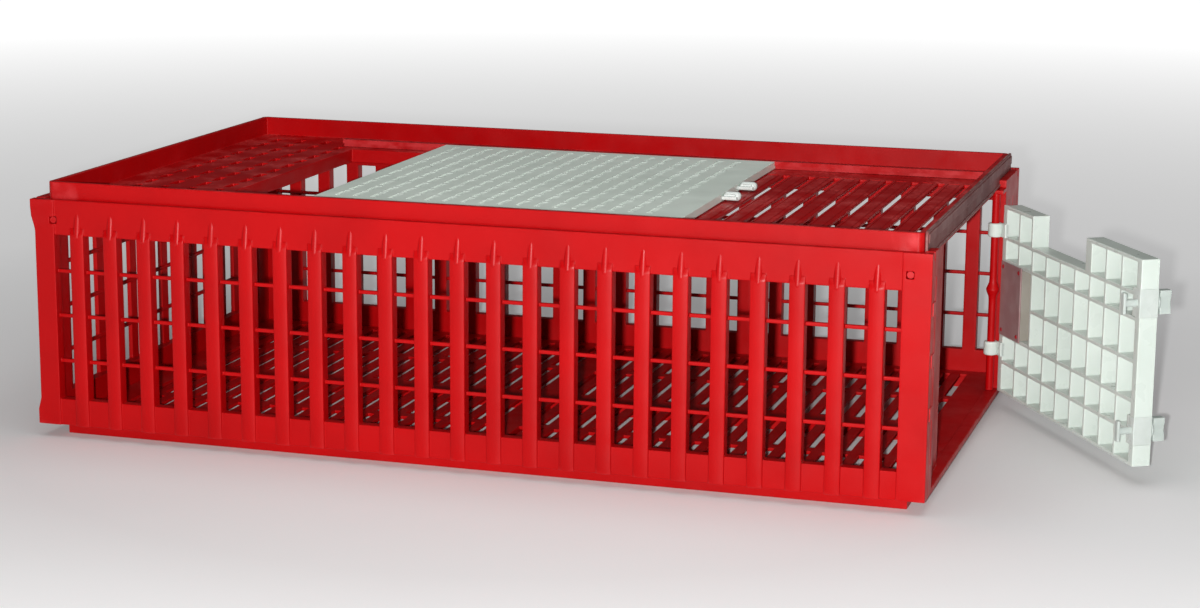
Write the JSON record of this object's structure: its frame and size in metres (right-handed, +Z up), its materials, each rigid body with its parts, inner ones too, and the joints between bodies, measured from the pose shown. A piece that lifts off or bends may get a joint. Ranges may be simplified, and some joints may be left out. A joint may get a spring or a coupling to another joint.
{
  "type": "poultry transport crate",
  "caption": "Red plastic poultry transport crate with barred walls, a slotted roof with a sliding top door, and a hinged white grid door in one end.",
  "frame": {"origin": "middle of the crate's underside, where the two keels that it rests on cross", "axes": "+X along the length towards the end with the hinged door, +Y to the rear long wall, +Z up"},
  "size_m": [1.1816, 0.58, 0.28],
  "materials": {
    "red_plastic": "glossy injection moulded plastic",
    "pale_plastic": "satin pale grey-green moulding",
    "white_plastic": "glossy white moulding",
    "clear_white_plastic": "slightly translucent undyed moulding"
  },
  "bodies": {
    "crate": {"base_tray": "red_plastic", "front_long_wall": "red_plastic", "rear_long_wall": "red_plastic", "left_end_wall": "red_plastic", "right_end_frame": "red_plastic", "roof_frame": "red_plastic", "top_door_rail_front": "red_plastic", "top_door_rail_rear": "red_plastic", "end_door_hinge_rod": "red_plastic", "corner_clip_front_left_low": "red_plastic", "corner_clip_front_left_mid": "red_plastic", "corner_clip_front_left_high": "red_plastic", "corner_clip_rear_left_low": "red_plastic", "corner_clip_rear_left_mid": "red_plastic", "corner_clip_rear_left_high": "red_plastic", "corner_clip_front_right_low": "red_plastic", "corner_clip_front_right_mid": "red_plastic", "corner_clip_front_right_high": "red_plastic", "corner_clip_rear_right_low": "red_plastic", "corner_clip_rear_right_mid": "red_plastic", "corner_clip_rear_right_high": "red_plastic", "roof_lock_pin_front_left": "red_plastic", "roof_lock_pin_rear_left": "red_plastic", "roof_lock_pin_front_right": "red_plastic", "roof_lock_pin_rear_right": "red_plastic"},
    "top_door": {"top_sliding_door": "pale_plastic"},
    "top_catch_front": {"top_door_catch_front": "white_plastic"},
    "top_catch_rear": {"top_door_catch_rear": "white_plastic"},
    "end_door": {"end_door": "clear_white_plastic", "end_door_plate": "clear_white_plastic"},
    "end_latch_upper": {"end_door_latch_upper": "white_plastic"},
    "end_latch_lower": {"end_door_latch_lower": "white_plastic"}
  },
  "joints": [
    {"name": "top_door_slide", "type": "slide", "parent": "crate", "child": "top_door", "axis": [1, 0, 0], "range_m": [-0.124, 0.225]},
    {"name": "top_catch_front_slide", "type": "slide", "parent": "top_door", "child": "top_catch_front", "axis": [0, 1, 0], "range_m": [0, 0.005], "stiffness_N_per_m": 400},
    {"name": "top_catch_rear_slide", "type": "slide", "parent": "top_door", "child": "top_catch_rear", "axis": [0, -1, 0], "range_m": [0, 0.005], "stiffness_N_per_m": 400},
    {"name": "end_door_swing", "type": "hinge", "parent": "crate", "child": "end_door", "pos_m": [0.476, 0.176, 0.12], "axis": [0, 0, 1], "range_deg": [-32.2, 57.8]},
    {"name": "end_latch_upper_turn", "type": "hinge", "parent": "end_door", "child": "end_latch_upper", "pos_m": [0.66457, -0.10468, 0.1905], "axis": [0.8462, 0.5329, 0], "range_deg": [0, 90]},
    {"name": "end_latch_lower_turn", "type": "hinge", "parent": "end_door", "child": "end_latch_lower", "pos_m": [0.66457, -0.10468, 0.0575], "axis": [0.8462, 0.5329, 0], "range_deg": [0, 90]}
  ]
}
